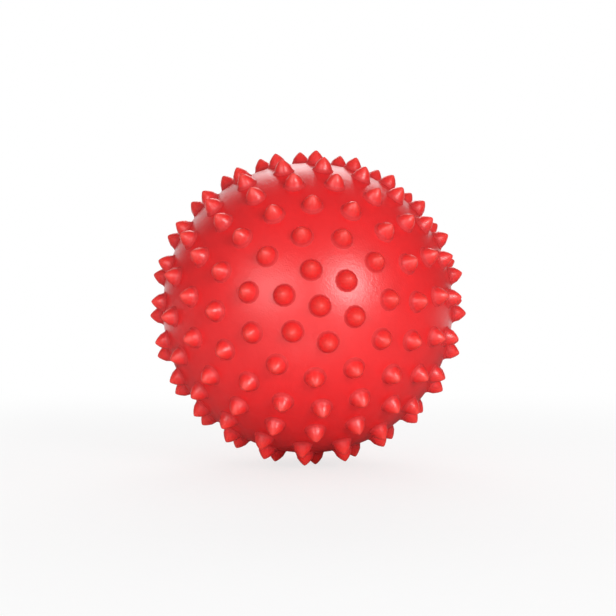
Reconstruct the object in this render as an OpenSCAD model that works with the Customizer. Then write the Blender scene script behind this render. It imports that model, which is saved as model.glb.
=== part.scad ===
// Soft spiky sensory ball: one hollow moulding with conical spikes, a moulded-in valve seat
// and a push-in valve plug that takes an inflating needle.
// Frame: origin at the centre of the ball, +Z up, the front pole spike towards -Y and the
// valve at the back pole, on +Y. Lengths are in millimetres.

/* [Ball] */
// Diameter over the spike tips
overall_d = 90; // [70:1:120]
// Thickness of the moulded wall between the spikes
wall_t = 2.5; // [2:0.1:4]

/* [Spikes] */
// Height of a spike above the skin
spike_h = 3.75; // [3:0.05:4.5]
// Diameter of a spike at the top of its flared foot
spike_d = 5; // [4:0.1:5.4]
// Height at which the flared foot runs into the flank
foot_h = 0.45; // [0.2:0.05:0.7]
// Diameter of the shoulder, where the flank leans in more
shoulder_d = 3.8; // [3:0.1:4.2]
// Height of the shoulder above the skin
shoulder_h = 1.8; // [1.4:0.05:2.2]
// Radius of the rounded tip
tip_r = 0.65; // [0.3:0.05:0.8]
// Depth to which a spike is rooted in the wall
root_t = 0.8; // [0.5:0.05:1]
// Spikes in each ring, from the ring round the pole out to the ring on the equator
ring_counts = [6, 11, 16, 19, 22, 24, 24]; // [4:1:30]
// Turn of each ring, as a share of the step between two of its spikes
ring_turn_shares = [0.72, 0.16, 0.12, 0.26, 0.24, 0.86, 0.19]; // [0:0.01:1]

/* [Valve] */
// Diameter of the boss inside the wall that holds the valve seat
boss_d = 14; // [13:0.5:16]
// Length of the valve seat, from its rim to its inner end
seat_l = 9; // [8:0.5:12]
// Diameter of the valve seat
seat_d = 9; // [8:0.1:9.5]
// Diameter of the rib that anchors the seat in the boss
rib_d = 11; // [10:0.1:12]
// Thickness of the anchoring rib
rib_t = 1.5; // [1:0.1:2]
// Depth of the seat's rim below the skin's pole
rim_sink = 0.3; // [0.2:0.05:0.6]
// Diameter of the plug's head
head_d = 5.4; // [5:0.1:6]
// Thickness of the plug's head
head_t = 1.4; // [1:0.1:2]
// Diameter of the plug's stem
stem_d = 3.6; // [3.4:0.1:4]
// Length of the stem under the head
stem_l = 7; // [6:0.5:7.5]
// Gap between plug and seat, on the radius and under the head
plug_gap = 0.05; // [0.02:0.01:0.1]
// Diameter of the channel for the inflating needle
needle_d = 2; // [1.8:0.1:2.2]
// Thickness of the self-sealing membrane at the channel's inner end
membrane_t = 1.2; // [0.8:0.1:2]

/* [Hidden] */
$fn = 64;
// Length by which a cut runs past the face that it opens
overrun = 1;
ball_r = overall_d / 2 - spike_h;
cavity_r = ball_r - wall_t;
ring_step = 90 / len(ring_counts);
equator = len(ring_counts);
rim_y = ball_r - rim_sink;
seat_end_y = rim_y - seat_l;
rib_y = rim_y - seat_l / 2;
head_hole_d = head_d + 2 * plug_gap;
stem_hole_d = stem_d + 2 * plug_gap;
head_seat_y = rim_y - head_t - plug_gap;
stem_end_y = rim_y - head_t - stem_l;
channel_end_y = stem_end_y + membrane_t;
pvc_red = [0.86, 0.09, 0.10];
seat_red = [0.62, 0.06, 0.07];
plug_white = [0.93, 0.92, 0.88];

// Stands a shape drawn about +Z so that its axis points out of the front pole, along -Y
module out_of_front() {
    rotate([90, 0, 0])
        children();
}

// Stands a shape drawn about +Z so that its axis points out of the back pole, along +Y
module out_of_back() {
    rotate([-90, 0, 0])
        children();
}

// Disc sector of the given radius on the positive side of the axis
module half_disc(r) {
    intersection() {
        circle(r);
        translate([0, -r - overrun])
            square([r + overrun, 2 * (r + overrun)]);
    }
}

// Straight length of a round piece about +Z, between two heights
module rod(d, from, to) {
    translate([0, 0, from])
        cylinder(d = d, h = to - from);
}

// One spike about +Z, with the skin at height 0: flared foot, two-slope flank and round tip
module spike() {
    tip_z = spike_h - tip_r;
    lean = atan2(shoulder_h - tip_z, shoulder_d / 2);
    reach = norm([shoulder_d / 2, shoulder_h - tip_z]);
    touch = lean + acos(tip_r / reach);
    rotate_extrude()
        union() {
            polygon([
                [0, -root_t],
                [spike_d / 2 + foot_h + root_t, -root_t],
                [spike_d / 2, foot_h],
                [shoulder_d / 2, shoulder_h],
                [tip_r * cos(touch), tip_z + tip_r * sin(touch)],
                [0, tip_z]
            ]);
            translate([0, tip_z])
                half_disc(tip_r);
        }
}

// One spike set on the skin at a given angle from the front pole and a given turn about it
module spike_at(polar, turn) {
    rotate([0, polar, turn])
        translate([0, 0, ball_r])
            spike();
}

// Ring of evenly spaced spikes, counted from the pole, at a given angle from the front pole
module spike_ring(ring, polar) {
    step = 360 / ring_counts[ring - 1];
    first = ring_turn_shares[ring - 1] * step;
    for (i = [0 : ring_counts[ring - 1] - 1])
        spike_at(polar, first + i * step);
}

// All spikes: the front pole, the front rings with the equator, and the same rings at the back
module spikes() {
    spike_at(0, 0);
    for (ring = [1 : equator])
        spike_ring(ring, ring * ring_step);
    for (ring = [1 : equator - 1])
        spike_ring(ring, 180 - ring * ring_step);
}

// Outer shape of the valve seat about +Z, used for the seat and for its pocket
module seat_body() {
    union() {
        rod(seat_d, seat_end_y, rim_y);
        rod(rib_d, rib_y - rib_t / 2, rib_y + rib_t / 2);
    }
}

// Hollow moulding with its spikes and the inner boss round the valve seat
module spiky_shell() {
    color(pvc_red)
        difference() {
            union() {
                difference() {
                    sphere(ball_r);
                    sphere(cavity_r);
                }
                out_of_front()
                    spikes();
                out_of_back()
                    rod(boss_d, seat_end_y, ball_r - wall_t / 2);
            }
            out_of_back() {
                seat_body();
                rod(seat_d, rim_y, ball_r + overrun);
            }
        }
}

// Firmer insert moulded into the boss, with a stepped hole for the plug
module valve_seat() {
    color(seat_red)
        out_of_back()
            difference() {
                seat_body();
                rod(stem_hole_d, seat_end_y - overrun, rim_y);
                rod(head_hole_d, head_seat_y, rim_y + overrun);
            }
}

// Push-in plug with a blind channel for the inflating needle
module valve_plug() {
    color(plug_white)
        out_of_back()
            difference() {
                union() {
                    rod(head_d, rim_y - head_t, rim_y);
                    rod(stem_d, stem_end_y, rim_y - head_t);
                }
                rod(needle_d, channel_end_y, rim_y + overrun);
            }
}

spiky_shell();
valve_seat();
valve_plug();
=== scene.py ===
import math

import bpy
from bpy.props import (
    FloatProperty,
    FloatVectorProperty,
    IntProperty,
    IntVectorProperty,
    PointerProperty,
)
from mathutils import Matrix, Vector


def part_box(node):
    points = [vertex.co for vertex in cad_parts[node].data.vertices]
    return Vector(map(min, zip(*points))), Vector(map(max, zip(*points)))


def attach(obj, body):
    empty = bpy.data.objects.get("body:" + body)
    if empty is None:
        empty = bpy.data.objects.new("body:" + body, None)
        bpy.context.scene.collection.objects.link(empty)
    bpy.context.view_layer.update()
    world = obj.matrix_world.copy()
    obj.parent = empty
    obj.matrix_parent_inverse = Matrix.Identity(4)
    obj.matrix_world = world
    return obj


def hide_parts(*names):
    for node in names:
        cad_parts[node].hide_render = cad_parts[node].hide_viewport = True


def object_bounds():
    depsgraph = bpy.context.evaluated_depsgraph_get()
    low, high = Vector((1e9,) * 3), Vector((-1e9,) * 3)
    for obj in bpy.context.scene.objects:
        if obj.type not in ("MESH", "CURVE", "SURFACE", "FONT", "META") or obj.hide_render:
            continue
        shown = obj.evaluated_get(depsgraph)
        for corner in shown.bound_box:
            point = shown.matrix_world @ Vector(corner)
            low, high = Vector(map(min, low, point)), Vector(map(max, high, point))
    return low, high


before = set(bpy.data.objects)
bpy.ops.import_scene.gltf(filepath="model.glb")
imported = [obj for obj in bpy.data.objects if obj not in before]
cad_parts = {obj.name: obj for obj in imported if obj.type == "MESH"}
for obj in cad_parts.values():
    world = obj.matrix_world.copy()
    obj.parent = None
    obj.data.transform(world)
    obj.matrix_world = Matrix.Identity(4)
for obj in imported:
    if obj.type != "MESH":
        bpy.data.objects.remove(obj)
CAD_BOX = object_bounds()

bl_info = {
    "name": "Spiky Sensory Ball",
    "version": (1, 0, 0),
    "blender": (4, 5, 0),
    "location": "View3D > Sidebar > Sensory Ball",
    "description": "Moulds the skin and the valve of a soft spiky sensory ball and sets its stage",
    "category": "Object",
}

MM = 0.001
SHELL_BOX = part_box("spiky_shell")
SEAT_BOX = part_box("valve_seat")
PLUG_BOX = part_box("valve_plug")

# Side of the square photograph and the ball's middle in it, in pixels
PHOTO_SIDE = 616
PHOTO_CENTRE = (307.8, 308.0)

# Turns that stand a shape drawn about +Z on the front pole, along -Y, or on the back pole, along +Y
OUT_OF_FRONT = Matrix.Rotation(math.radians(90), 4, "X")
OUT_OF_BACK = Matrix.Rotation(math.radians(-90), 4, "X")

# Straight steps in a rounded edge
ROUND_STEPS = 3
# Points nearer to each other than this are one point
WELD = 0.001 * MM
# Slivers that cuts leave behind are closed up where they are smaller than this
SPECK = 0.01 * MM
# A point that lies off the skin's radius by less than this belongs to the skin between the spikes
SKIN_SLACK = 0.02 * MM

# Angles between two faces from which the edge between them stays sharp
SKIN_CREASE = math.radians(60)
VALVE_CREASE = math.radians(35)

# Grains to a metre in the noise of the skin, the valve seat, the plug and the floor's paper
SKIN_CLOUDS, SKIN_COARSE, SKIN_FINE = 60.0, 500.0, 2400.0
SEAT_MOTTLE, SEAT_FINE = 900.0, 4200.0
PLUG_WEAR, PLUG_FINE = 600.0, 5200.0
PAPER_FIBRE = 300.0

# Soft boxes: name, turn from the front and lift in degrees, distance, width and height in metres,
# power in watts, whether a gloss shows the box, and the angle in degrees over which it shines
SOFT_BOXES = (
    ("right_box", 27, 16, 0.7, 0.26, 0.26, 2.2, True, 180),
    ("left_box", -31, 14, 0.7, 0.48, 0.34, 1.2, True, 180),
    ("top_box", 172, 42, 0.9, 0.5, 0.3, 1.0, True, 180),
    ("front_fill", -4, 1, 0.7, 0.8, 0.1, 0.3, False, 180),
    ("low_fill", -4, -22, 0.105, 0.24, 0.008, 0.007, False, 80),
    ("back_fill", 180, 30, 0.9, 0.9, 0.5, 3.2, False, 180),
)

WHITE = (1.0, 1.0, 1.0, 1.0)

# The white that a gloss sees behind the ball: the way to its middle, and how far another way runs
# along that one where the white starts and where it is full
WHITE_WAY = (0.0, 0.96, 0.27)
WHITE_START, WHITE_FULL = 0.77, 0.91


def length(name, text, default):
    """A length in metres, for a property group."""
    return FloatProperty(
        name=name,
        description=text,
        default=default,
        min=0.0,
        max=10.0,
        precision=5,
        subtype="DISTANCE",
        unit="LENGTH",
    )


def tint(name, text, default):
    """A linear colour, for a property group."""
    return FloatVectorProperty(
        name=name, description=text, default=default, size=3, min=0.0, max=1.0, subtype="COLOR"
    )


def angle(name, text, degrees):
    """An angle given in degrees, for a property group."""
    return FloatProperty(
        name=name, description=text, default=math.radians(degrees), subtype="ANGLE", unit="ROTATION"
    )


def fraction(name, text, default):
    """A number from 0 to 1, for a property group."""
    return FloatProperty(name=name, description=text, default=default, min=0.0, max=1.0)


def number(name, text, default, least=1):
    """A whole number, for a property group."""
    return IntProperty(name=name, description=text, default=default, min=least)


class SkinSizes(bpy.types.PropertyGroup):
    """Sizes and colours of the moulded skin and its spikes"""

    tip_reach: length("Tip Reach", "Distance from the centre to a spike's tip", -SHELL_BOX[0].y)
    spike_h: length("Spike Height", "Height of a spike above the skin", 3.75 * MM)
    spike_d: length("Spike Width", "Diameter of a spike above its flared foot", 5.0 * MM)
    shoulder_d: length("Shoulder Width", "Diameter of the bowed flank's shoulder", 4.1 * MM)
    shoulder_h: length("Shoulder Height", "Height of the shoulder above the skin", 1.8 * MM)
    brow_d: length("Brow Width", "Diameter at which the flank turns in to the tip", 2.5 * MM)
    brow_h: length("Brow Height", "Height of the brow above the skin", 2.8 * MM)
    tip_r: length("Tip Radius", "Radius of the rounded tip", 0.5 * MM)
    foot_h: length("Foot Height", "Height at which the flared foot meets the flank", 0.45 * MM)
    root_t: length("Root Depth", "Depth to which a spike is rooted in the wall", 0.8 * MM)
    wall_t: length("Wall", "Thickness of the wall between the spikes", 2.5 * MM)
    boss_d: length("Boss Width", "Diameter of the inner boss round the valve", 14.0 * MM)
    mouth_r: length("Mouth Edge", "Rounding of the skin's edge round the valve", 0.3 * MM)
    ring_counts: IntVectorProperty(
        name="Ring Counts",
        description="Spikes in each ring, from the ring round the pole out to the equator",
        size=7,
        default=(6, 11, 16, 19, 22, 24, 24),
        min=1,
    )
    ring_turn_shares: FloatVectorProperty(
        name="Ring Turns",
        description="Turn of each ring, as a share of the step between two of its spikes",
        size=7,
        default=(0.72, 0.16, 0.12, 0.26, 0.24, 0.86, 0.19),
        min=0.0,
        max=1.0,
    )
    spike_sides: number("Spike Sides", "Sides of a spike", 14, least=8)
    skin_splits: number("Skin Splits", "Fineness of the outer ball's triangles", 6)
    cavity_splits: number("Cavity Splits", "Fineness of the hollow's triangles", 5)
    red: tint("Red", "Colour of the soft moulding", (0.80, 0.009, 0.012))
    # The tips' colour is a painted glow: lighter and warmer, as light shining through the thin
    # tips.
    tip_glow_red: tint("Tip Glow Red", "Colour of the thin, see-through tips", (0.86, 0.032, 0.022))
    # The crease colour is painted shade: darker where the foot meets the skin.
    crease_shade_red: tint("Crease Shade Red", "Colour in the crease round a spike's foot", (0.56, 0.006, 0.008))


class ValveSizes(bpy.types.PropertyGroup):
    """Sizes and colours of the valve's seat and plug"""

    seat_d: length("Seat Width", "Diameter of the valve seat", 9.0 * MM)
    rib_t: length("Rib", "Thickness of the rib that anchors the seat", 1.5 * MM)
    head_t: length("Head", "Thickness of the plug's head", 1.4 * MM)
    stem_d: length("Stem Width", "Diameter of the plug's stem", 3.6 * MM)
    gap: length("Gap", "Gap between the plug and its hole", 0.05 * MM)
    needle_d: length("Needle Width", "Diameter of the needle's channel", 2.0 * MM)
    membrane_t: length("Membrane", "Thickness of the membrane under the channel", 1.2 * MM)
    edge_r: length("Edge", "Rounding of the edges", 0.25 * MM)
    sides: number("Sides", "Sides of the round pieces", 64, least=16)
    seat_red: tint("Seat Red", "Colour of the firm seat", (0.34, 0.006, 0.008))
    plug_white: tint("Plug White", "Colour of the plug", (0.78, 0.76, 0.70))


class StageSizes(bpy.types.PropertyGroup):
    """The camera's place, the floor and the background"""

    view_turn: angle("View Turn", "Turn of the camera round the ball from the front", -4.2)
    view_lift: angle("View Lift", "Lift of the camera above the ball's centre", -0.7)
    view_reach: FloatProperty(
        name="View Reach",
        description="Distance of the camera from the centre, in radii of the skin",
        default=7.0,
        min=2.0,
    )
    limb_px: FloatProperty(
        name="Limb",
        description="Radius of the skin's outline in the photograph",
        default=144.85,
        min=10.0,
        subtype="PIXEL",
    )
    floor_w: length("Floor Width", "Width of the floor", 6.0)
    floor_white: tint("Floor White", "Colour of the floor's paper", (0.90, 0.90, 0.90))
    near_white: fraction("Near White", "Share of plain white in the paper round the ball", 0.75)
    fade_start: length("Fade Start", "Distance at which the paper starts to turn white", 0.1)
    fade_end: length("Fade End", "Distance from which the floor is plain white", 0.35)
    gloss_start: length("Gloss Start", "Distance back at which a gloss starts to see white", 0.2)
    gloss_end: length("Gloss End", "Distance back from which a gloss sees plain white", 0.5)
    room_level: fraction("Room Level", "Strength of the room's own light", 0.46)
    gloss_level: fraction("Gloss Level", "Strength of that light as a gloss sees it", 0.05)
    gloss_white: fraction("Gloss White", "Share of white that a gloss sees behind the ball", 0.95)


class Value:
    """A shader socket that takes part in arithmetic."""

    def __init__(self, sheet, socket):
        self.sheet = sheet
        self.socket = socket

    def _math(self, operation, first, second):
        return self.sheet.node("ShaderNodeMath", {"operation": operation}, {0: first, 1: second})

    def __add__(self, other):
        return self._math("ADD", self, other)

    def __radd__(self, other):
        return self._math("ADD", other, self)

    def __sub__(self, other):
        return self._math("SUBTRACT", self, other)

    def __rsub__(self, other):
        return self._math("SUBTRACT", other, self)

    def __mul__(self, other):
        return self._math("MULTIPLY", self, other)

    def __rmul__(self, other):
        return self._math("MULTIPLY", other, self)


class Sheet:
    """A node tree that is written as expressions."""

    def __init__(self, owner):
        owner.use_nodes = True
        self.owner = owner
        self.tree = owner.node_tree
        self.tree.nodes.clear()

    def node(self, kind, settings=None, inputs=None, output=0):
        """Adds a node, sets it up, feeds its sockets and returns one of its outputs."""
        made = self.tree.nodes.new(kind)
        for key, value in (settings or {}).items():
            setattr(made, key, value)
        for key, value in (inputs or {}).items():
            if isinstance(value, Value):
                self.tree.links.new(value.socket, made.inputs[key])
            else:
                made.inputs[key].default_value = value
        return Value(self, made.outputs[output]) if made.outputs else None

    def place(self):
        """The surface point in the piece's own coordinates."""
        return self.node("ShaderNodeTexCoord", output="Object")

    def reach(self, place):
        """Distance of a point from the origin."""
        settings = {"operation": "LENGTH"}
        return self.node("ShaderNodeVectorMath", settings, {0: place}, output="Value")

    def along(self, way, axis):
        """How far a way runs along an axis."""
        settings = {"operation": "DOT_PRODUCT"}
        return self.node("ShaderNodeVectorMath", settings, {0: way, 1: axis}, output="Value")

    def grain(self, place, grains):
        """Noise about 0.5, with this many grains to a metre."""
        inputs = {"Vector": place, "Scale": grains, "Detail": 2.0, "Roughness": 0.55}
        return self.node("ShaderNodeTexNoise", {"noise_dimensions": "3D"}, inputs)

    def rise(self, value, low, high):
        """0 up to low, 1 from high on, and a smooth rise between them."""
        inputs = {"Value": value, "From Min": low, "From Max": high}
        settings = {"interpolation_type": "SMOOTHSTEP"}
        return self.node("ShaderNodeMapRange", settings, inputs)

    def blend(self, factor, first, second):
        """A colour between two colours."""
        settings = {"data_type": "RGBA", "clamp_factor": True}
        return self.node("ShaderNodeMix", settings, {0: factor, 6: first, 7: second}, output=2)

    def bump(self, height, strength, depth):
        """A normal that follows a height."""
        inputs = {"Strength": strength, "Distance": depth, "Height": height}
        return self.node("ShaderNodeBump", None, inputs)

    def ray(self, kind):
        """1 where the surface is met by a ray of this kind, and otherwise 0."""
        return self.node("ShaderNodeLightPath", output=f"Is {kind} Ray")

    def straight_ray(self):
        """1 where the camera looks at the surface, also through what is clear."""
        return self.ray("Camera") + self.ray("Transmission")

    def all_round(self, strength):
        """White light of this strength from all round."""
        return self.node("ShaderNodeBackground", None, {"Color": WHITE, "Strength": strength})

    def mixed(self, factor, first, second):
        """A shader between two shaders."""
        return self.node("ShaderNodeMixShader", None, {0: factor, 1: first, 2: second})

    def surface(self, inputs):
        """Ends the sheet in a plain surface shader."""
        shader = self.node("ShaderNodeBsdfPrincipled", None, inputs)
        self.node("ShaderNodeOutputMaterial", None, {"Surface": shader})
        return self.owner


def rgba(value, level=1.0):
    """A colour property as the four numbers that a node takes, scaled to a level."""
    return (*(min(1.0, level * part) for part in value), 1.0)


def soft_pvc(sizes):
    """Satin soft PVC, faintly clouded and grained.

    Thin tips get a painted glow, warmer and lighter; the foot's crease gets painted shade; both are
    duller.
    """
    sheet = Sheet(bpy.data.materials.new("satin_soft_pvc"))
    place = sheet.place()
    height = sheet.reach(place) - (sizes.tip_reach - sizes.spike_h)
    thin = sheet.rise(height, 0.15 * sizes.spike_h, sizes.spike_h)
    point = sheet.rise(height, 0.7 * sizes.spike_h, 0.95 * sizes.spike_h)
    foot = sheet.rise(height, 0.01 * MM, 0.12 * MM)
    flank = sheet.rise(height, 0.5 * MM, 1.3 * MM)
    crease = foot * (1 - flank)
    clouds = sheet.rise(sheet.grain(place, SKIN_CLOUDS), 0.35, 0.70)
    tone = sheet.blend(clouds * 0.35, rgba(sizes.red), rgba(sizes.red, 0.86))
    # Painted glow: the thin tips turn lighter and warmer, as if lit through.
    tone = sheet.blend(thin, tone, rgba(sizes.tip_glow_red))
    # Painted shade: the crease round each foot turns darker.
    tone = sheet.blend(crease * 0.7, tone, rgba(sizes.crease_shade_red))
    fine = sheet.grain(place, SKIN_FINE)
    coarse = sheet.grain(place, SKIN_COARSE)
    uneven = (coarse - 0.5) * 0.05 + (fine - 0.5) * 0.03
    return sheet.surface(
        {
            "Base Color": tone,
            "Roughness": 0.31 + uneven + crease * 0.5 + point * 0.25,
            "Normal": sheet.bump(fine + coarse, 0.6, 0.11 * MM),
            "IOR": 1.66,
            "Coat Weight": 0.55 - crease * 0.5,
            "Coat Roughness": 0.45,
            "Subsurface Weight": 0.12,
            "Subsurface Radius": (1.0, 0.2, 0.15),
            "Subsurface Scale": 2.0 * MM,
        }
    )


def firm_pvc(sizes):
    """Darker, firmer PVC of the valve seat, mottled and finely grained."""
    sheet = Sheet(bpy.data.materials.new("firm_seat_pvc"))
    place = sheet.place()
    mottle = sheet.rise(sheet.grain(place, SEAT_MOTTLE), 0.3, 0.7)
    tone = sheet.blend(mottle * 0.6, rgba(sizes.seat_red), rgba(sizes.seat_red, 1.5))
    fine = sheet.grain(place, SEAT_FINE)
    return sheet.surface(
        {
            "Base Color": tone,
            "Roughness": 0.34 + fine * 0.14,
            "Normal": sheet.bump(fine, 0.15, 0.03 * MM),
            "IOR": 1.5,
        }
    )


def white_rubber(sizes):
    """Matt off-white rubber of the plug, greyer in patches where it has been handled."""
    sheet = Sheet(bpy.data.materials.new("matt_white_rubber"))
    place = sheet.place()
    worn = sheet.rise(sheet.grain(place, PLUG_WEAR), 0.42, 0.75)
    tone = sheet.blend(worn * 0.6, rgba(sizes.plug_white), rgba(sizes.plug_white, 0.7))
    fine = sheet.grain(place, PLUG_FINE)
    return sheet.surface(
        {
            "Base Color": tone,
            "Roughness": 0.55 + fine * 0.15,
            "Normal": sheet.bump(fine, 0.2, 0.03 * MM),
            "IOR": 1.5,
        }
    )


def start_afresh():
    """Clears the selection, so that the next step touches only its own piece."""
    if bpy.context.object and bpy.context.object.mode != "OBJECT":
        bpy.ops.object.mode_set(mode="OBJECT")
    bpy.ops.object.select_all(action="DESELECT")


def pick(*pieces):
    """Selects these pieces alone and makes the first of them active."""
    start_afresh()
    for piece in pieces:
        piece.select_set(True)
    bpy.context.view_layer.objects.active = pieces[0]


def named(name):
    """Names the piece that was just made."""
    piece = bpy.context.object
    piece.name = piece.data.name = name
    return piece


def raised(name, rings, sides, end):
    """A round piece about +Z, raised ring by ring from a circle through (radius, height) pairs.

    A "flat" piece has a face at both ends, a "pointed" one runs out in a point above its last
    ring, and a "looped" one is a tube whose last ring meets its first.
    """
    start_afresh()
    (r, z), *others = rings
    fill = "NOTHING" if end == "looped" else "NGON"
    bpy.ops.mesh.primitive_circle_add(
        vertices=sides, radius=r, fill_type=fill, location=(0, 0, z), enter_editmode=True
    )
    for next_r, next_z in others:
        bpy.ops.mesh.extrude_region_move(TRANSFORM_OT_translate={"value": (0, 0, next_z - z)})
        if next_r:
            scale = next_r / r
            bpy.ops.transform.resize(value=(scale, scale, 1), center_override=(0, 0, next_z))
        else:
            bpy.ops.mesh.merge(type="CENTER")
        r, z = next_r, next_z
    bpy.ops.mesh.select_all(action="SELECT")
    bpy.ops.mesh.remove_doubles(threshold=WELD)
    bpy.ops.mesh.normals_make_consistent(inside=False)
    bpy.ops.object.mode_set(mode="OBJECT")
    return settled(named(name))


def globe(name, radius, subdivisions):
    """An even ball of triangles about the origin."""
    start_afresh()
    bpy.ops.mesh.primitive_ico_sphere_add(subdivisions=subdivisions, radius=radius)
    return named(name)


def settled(piece, turn=None):
    """Puts a piece's turn and place into its mesh, so that its object sits at the origin."""
    if turn is not None:
        piece.matrix_world = turn @ piece.matrix_world
    pick(piece)
    bpy.ops.object.transform_apply(location=True, rotation=True, scale=True)
    return piece


def combine(piece, operation, tool):
    """Joins a tool to a piece or cuts it away, and discards the tool."""
    pick(piece)
    step = piece.modifiers.new(operation.lower(), "BOOLEAN")
    step.operation = operation
    step.solver = "MANIFOLD"
    step.object = tool
    bpy.ops.object.modifier_apply(modifier=step.name)
    bpy.data.objects.remove(tool)


def trim(piece):
    """Closes up the slivers that cuts leave behind."""
    pick(piece)
    bpy.ops.object.mode_set(mode="EDIT")
    bpy.ops.mesh.select_all(action="SELECT")
    bpy.ops.mesh.remove_doubles(threshold=SPECK)
    bpy.ops.mesh.dissolve_degenerate(threshold=SPECK)
    bpy.ops.object.mode_set(mode="OBJECT")


def finish_piece(piece, finish, body, node, crease):
    """Checks that a piece is closed, smooths it and sets it on its body, in place of a CAD node."""
    pick(piece)
    bpy.ops.object.mode_set(mode="EDIT")
    bpy.ops.mesh.select_all(action="DESELECT")
    bpy.ops.mesh.select_non_manifold()
    bpy.ops.object.mode_set(mode="OBJECT")
    if any(vertex.select for vertex in piece.data.vertices):
        raise RuntimeError(f"{piece.name} isn't closed")
    bpy.ops.object.shade_smooth_by_angle(angle=crease)
    piece.data.materials.clear()
    piece.data.materials.append(finish)
    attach(piece, body)
    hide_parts(node)


def edge_round(r, z, radius, start, end):
    """Points of a quarter round about a centre, from one angle to another in degrees."""
    points = []
    for k in range(ROUND_STEPS + 1):
        turn = math.radians(start + (end - start) * k / ROUND_STEPS)
        points.append((r + radius * math.cos(turn), z + radius * math.sin(turn)))
    return points


def spike_rings(sizes):
    """Rings of one spike over the skin at height 0, from its buried root to its round tip.

    The flared foot runs on a little way below the skin, which lies lower round a wide foot.
    """
    spike_r = sizes.spike_d / 2
    return [
        (spike_r + sizes.foot_h, -sizes.root_t),
        (spike_r + 1.3 * sizes.foot_h, -0.4 * sizes.foot_h),
        (spike_r, sizes.foot_h),
        (sizes.shoulder_d / 2, sizes.shoulder_h),
        (sizes.brow_d / 2, sizes.brow_h),
        (sizes.tip_r, sizes.spike_h - sizes.tip_r / 2),
        (0.0, sizes.spike_h),
    ]


def spike_turns(sizes):
    """Every spike's place, as a turn of a spike that stands along +Z."""
    equator = len(sizes.ring_counts)
    yield OUT_OF_FRONT
    for ring in range(1, equator + 1):
        polar = math.radians(90) * ring / equator
        count = sizes.ring_counts[ring - 1]
        for i in range(count):
            turn = math.tau * (sizes.ring_turn_shares[ring - 1] + i) / count
            about = OUT_OF_FRONT @ Matrix.Rotation(turn, 4, "Z")
            yield about @ Matrix.Rotation(polar, 4, "Y")
            if ring < equator:
                yield about @ Matrix.Rotation(math.pi - polar, 4, "Y")


def spike_crowd(sizes):
    """All the spikes: one is raised, and each place gets a copy with a mesh of its own."""
    skin_r = sizes.tip_reach - sizes.spike_h
    first = raised("spikes", spike_rings(sizes), sizes.spike_sides, "pointed")
    first.data.transform(Matrix.Translation((0, 0, skin_r)))
    copies = []
    for turn in spike_turns(sizes):
        copy = first.copy()
        copy.data = first.data.copy()
        copy.data.transform(turn)
        bpy.context.scene.collection.objects.link(copy)
        copies.append(copy)
    bpy.data.objects.remove(first)
    pick(*copies)
    bpy.ops.object.join()
    return copies[0]


def seat_wall(valve):
    """Outer side of the valve seat about its axis, from its inner end up to its rim."""
    seat_r, rib_r = valve.seat_d / 2, SEAT_BOX[1].x
    low, high = SEAT_BOX[0].y, SEAT_BOX[1].y
    rib_low = (low + high - valve.rib_t) / 2
    rib_high = rib_low + valve.rib_t
    return [
        (seat_r, low),
        (seat_r, rib_low),
        (rib_r, rib_low),
        (rib_r, rib_high),
        (seat_r, rib_high),
    ]


class BALL_OT_mould_skin(bpy.types.Operator):
    """Mould the hollow skin with its rings of spikes and the boss for the valve"""

    bl_idname = "sensory_ball.mould_skin"
    bl_label = "Mould Skin"

    def execute(self, context):
        sizes, valve = context.scene.sensory_skin, context.scene.sensory_valve
        skin_r = sizes.tip_reach - sizes.spike_h
        skin = globe("spiky_skin", skin_r, sizes.skin_splits)
        combine(skin, "UNION", spike_crowd(sizes))
        combine(skin, "DIFFERENCE", self.cavity(sizes, valve, skin_r))
        combine(skin, "DIFFERENCE", self.pocket(sizes, valve, skin_r))
        trim(settled(skin))
        finish_piece(skin, soft_pvc(sizes), "ball", "spiky_shell", SKIN_CREASE)
        self.even_out(skin, skin_r)
        return {"FINISHED"}

    @staticmethod
    def cavity(sizes, valve, skin_r):
        """The hollow inside the wall, less the boss that holds the valve."""
        cavity = globe("cavity", skin_r - sizes.wall_t, sizes.cavity_splits)
        rings = [(sizes.boss_d / 2, SEAT_BOX[0].y), (sizes.boss_d / 2, skin_r)]
        boss = settled(raised("boss", rings, valve.sides, "flat"), OUT_OF_BACK)
        combine(cavity, "DIFFERENCE", boss)
        return cavity

    @staticmethod
    def pocket(sizes, valve, skin_r):
        """The hole for the valve seat, with a rounded edge where it breaks the skin."""
        wall = seat_wall(valve)
        (r, low), rim = wall[0], SEAT_BOX[1].y
        mouth = edge_round(r + sizes.mouth_r, rim, sizes.mouth_r, 180, 90)
        top = (r + sizes.mouth_r, skin_r + sizes.wall_t)
        rings = [(r, low - sizes.wall_t), *wall[1:], *mouth, top]
        return settled(raised("pocket", rings, valve.sides, "flat"), OUT_OF_BACK)

    @staticmethod
    def even_out(skin, skin_r):
        """Points the normals of the skin between the spikes straight out of the centre."""
        for vertex in skin.data.vertices:
            vertex.select = abs(vertex.co.length - skin_r) < SKIN_SLACK
        for part in (*skin.data.edges, *skin.data.polygons):
            part.select = False
        pick(skin)
        bpy.ops.object.mode_set(mode="EDIT")
        bpy.ops.mesh.point_normals(mode="COORDINATES", invert=True, target_location=(0, 0, 0))
        bpy.ops.object.mode_set(mode="OBJECT")


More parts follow.
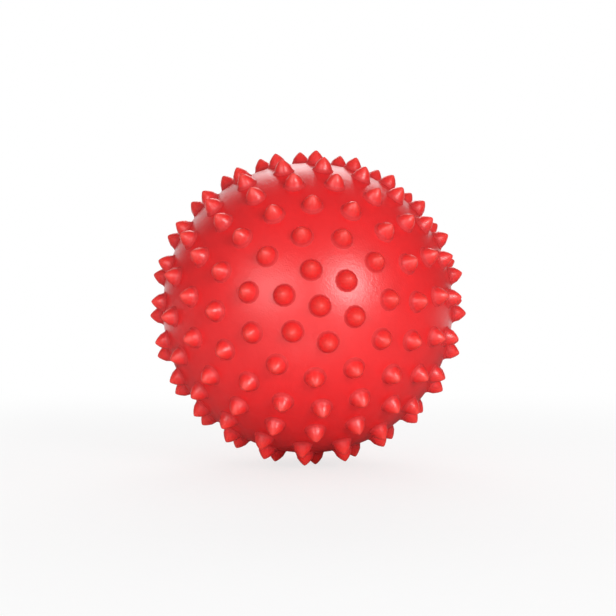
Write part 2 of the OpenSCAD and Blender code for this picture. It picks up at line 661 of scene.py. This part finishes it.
class BALL_OT_seat_valve(bpy.types.Operator):
    """Turn the firm valve seat that is moulded into the boss"""

    bl_idname = "sensory_ball.seat_valve"
    bl_label = "Seat Valve"

    def execute(self, context):
        valve = context.scene.sensory_valve
        wall = seat_wall(valve)
        edge = valve.edge_r
        (seat_r, low), rim = wall[0], SEAT_BOX[1].y
        stem_r = valve.stem_d / 2 + valve.gap
        head_r = PLUG_BOX[1].x + valve.gap
        ledge = rim - valve.head_t - valve.gap
        outer = edge_round(seat_r - edge, rim - edge, edge, 0, 90)
        inner = edge_round(head_r + edge, rim - edge, edge, 90, 180)
        throat = edge_round(stem_r + edge, ledge - edge, edge, 90, 180)
        rings = [*wall, *outer, *inner, (head_r, ledge), *throat, (stem_r, low), wall[0]]
        seat = settled(raised("valve_seat_ring", rings, valve.sides, "looped"), OUT_OF_BACK)
        finish_piece(seat, firm_pvc(valve), "ball", "valve_seat", VALVE_CREASE)
        return {"FINISHED"}


class BALL_OT_plug_valve(bpy.types.Operator):
    """Turn the push-in plug with its blind channel for the needle"""

    bl_idname = "sensory_ball.plug_valve"
    bl_label = "Plug Valve"

    def execute(self, context):
        valve = context.scene.sensory_valve
        edge = valve.edge_r
        low, high = PLUG_BOX[0].y, PLUG_BOX[1].y
        head_r, stem_r, needle_r = PLUG_BOX[1].x, valve.stem_d / 2, valve.needle_d / 2
        under = high - valve.head_t
        rings = [
            *edge_round(stem_r - edge, low + edge, edge, -90, 0),
            (stem_r, under),
            *edge_round(head_r - edge, under + edge, edge, -90, 0),
            *edge_round(head_r - edge, high - edge, edge, 0, 90),
            *edge_round(needle_r + edge, high - edge, edge, 90, 180),
            (needle_r, low + valve.membrane_t),
        ]
        plug = settled(raised("valve_plug_body", rings, valve.sides, "flat"), OUT_OF_BACK)
        finish_piece(plug, white_rubber(valve), "plug", "valve_plug", VALVE_CREASE)
        return {"FINISHED"}


def heading(turn, lift):
    """The way from the ball's centre to a place at a turn from the front and a lift."""
    level = math.cos(lift)
    return Vector((math.sin(turn) * level, -math.cos(turn) * level, math.sin(lift)))


def soft_box(name, turn, lift, reach, width, height, power, shine, spread):
    """A soft box that faces the ball, from a row of the table of soft boxes."""
    place = reach * heading(math.radians(turn), math.radians(lift))
    start_afresh()
    bpy.ops.object.light_add(type="AREA", location=place)
    box = named(name)
    box.data.shape = "RECTANGLE"
    box.data.size, box.data.size_y = width, height
    box.data.energy = power
    box.data.spread = math.radians(spread)
    box.visible_glossy = shine
    box.rotation_euler = (-place).to_track_quat("-Z", "Y").to_euler()


class BALL_OT_set_stage(bpy.types.Operator):
    """Lay the white floor, hang the backdrop and set the soft boxes and the camera"""

    bl_idname = "sensory_ball.set_stage"
    bl_label = "Set Stage"

    def execute(self, context):
        scene = context.scene
        self.lay_floor(scene.sensory_stage)
        self.hang_backdrop(scene, scene.sensory_stage)
        for row in SOFT_BOXES:
            soft_box(*row)
        self.aim_camera(scene, scene.sensory_stage, scene.sensory_skin)
        scene.view_settings.view_transform = "Standard"
        return {"FINISHED"}

    @staticmethod
    def lay_floor(stage):
        """White paper that keeps the ball's shadow and runs out into the white background."""
        start_afresh()
        bpy.ops.mesh.primitive_plane_add(size=stage.floor_w, location=(0, 0, CAD_BOX[0].z))
        floor = settled(named("floor"))
        sheet = Sheet(bpy.data.materials.new("floor_paper"))
        place = sheet.place()
        straight, gloss = sheet.straight_ray(), sheet.ray("Glossy")
        fibre = sheet.grain(place, PAPER_FIBRE)
        tone = sheet.blend(fibre, rgba(stage.floor_white), rgba(stage.floor_white, 0.97))
        # A gloss sees the paper far darker than it is: painted shade in the ball's reflection of
        # the floor.
        tone = sheet.blend(gloss, tone, rgba(stage.floor_white, 0.12))
        matt = {"Base Color": tone, "Roughness": 1.0, "Specular IOR Level": 0.0}
        paper = sheet.node("ShaderNodeBsdfPrincipled", None, matt)
        white = sheet.node("ShaderNodeEmission", None, {"Color": WHITE, "Strength": 1.0})
        far = sheet.rise(sheet.reach(place), stage.fade_start, stage.fade_end)
        behind = sheet.rise(sheet.along(place, (0, 1, 0)), stage.gloss_start, stage.gloss_end)
        share = straight * (stage.near_white + far * (1 - stage.near_white)) + gloss * behind
        shader = sheet.mixed(share, paper, white)
        sheet.node("ShaderNodeOutputMaterial", None, {"Surface": shader})
        floor.data.materials.append(sheet.owner)

    @staticmethod
    def hang_backdrop(scene, stage):
        """A dim room, dimmer still to a gloss, whose background is white to the eye.

        Behind the ball and a little above it the background is white to a gloss too.
        """
        scene.world = bpy.data.worlds.new("studio")
        sheet = Sheet(scene.world)
        straight, gloss = sheet.straight_ray(), sheet.ray("Glossy")
        way = sheet.node("ShaderNodeTexCoord", output="Generated")
        behind = sheet.rise(sheet.along(way, WHITE_WAY), WHITE_START, WHITE_FULL)
        room = sheet.all_round(stage.room_level)
        dim_room = sheet.mixed(gloss, room, sheet.all_round(stage.gloss_level))
        share = straight + gloss * behind * stage.gloss_white
        shader = sheet.mixed(share, dim_room, sheet.all_round(1.0))
        sheet.node("ShaderNodeOutputWorld", None, {"Surface": shader})

    @staticmethod
    def aim_camera(scene, stage, sizes):
        """The photograph's view: its turn, its distance and its frame."""
        reach = stage.view_reach * (sizes.tip_reach - sizes.spike_h)
        place = reach * heading(stage.view_turn, stage.view_lift)
        start_afresh()
        bpy.ops.object.camera_add(location=place)
        camera = named("camera")
        camera.rotation_euler = (-place).to_track_quat("-Z", "Y").to_euler()
        focal_px = stage.limb_px * math.sqrt(stage.view_reach**2 - 1)
        camera.data.lens = camera.data.sensor_width * focal_px / PHOTO_SIDE
        camera.data.shift_x = (PHOTO_SIDE / 2 - PHOTO_CENTRE[0]) / PHOTO_SIDE
        camera.data.shift_y = (PHOTO_CENTRE[1] - PHOTO_SIDE / 2) / PHOTO_SIDE
        camera.data.clip_start = 10 * MM
        scene.camera = camera


class VIEW3D_PT_sensory_ball(bpy.types.Panel):
    """Lists the steps that make the ball"""

    bl_label = "Sensory Ball"
    bl_idname = "VIEW3D_PT_sensory_ball"
    bl_space_type = "VIEW_3D"
    bl_region_type = "UI"
    bl_category = "Sensory Ball"

    def draw(self, context):
        for step in STEPS:
            self.layout.operator(step.bl_idname)


STEPS = (BALL_OT_mould_skin, BALL_OT_seat_valve, BALL_OT_plug_valve, BALL_OT_set_stage)
CLASSES = (SkinSizes, ValveSizes, StageSizes, *STEPS, VIEW3D_PT_sensory_ball)


def register():
    for cls in CLASSES:
        bpy.utils.register_class(cls)
    bpy.types.Scene.sensory_skin = PointerProperty(type=SkinSizes)
    bpy.types.Scene.sensory_valve = PointerProperty(type=ValveSizes)
    bpy.types.Scene.sensory_stage = PointerProperty(type=StageSizes)


def unregister():
    del bpy.types.Scene.sensory_skin
    del bpy.types.Scene.sensory_valve
    del bpy.types.Scene.sensory_stage
    for cls in reversed(CLASSES):
        bpy.utils.unregister_class(cls)


def main():
    register()
    bpy.ops.sensory_ball.mould_skin()
    bpy.ops.sensory_ball.seat_valve()
    bpy.ops.sensory_ball.plug_valve()
    bpy.ops.sensory_ball.set_stage()


if __name__ == "__main__":
    main()
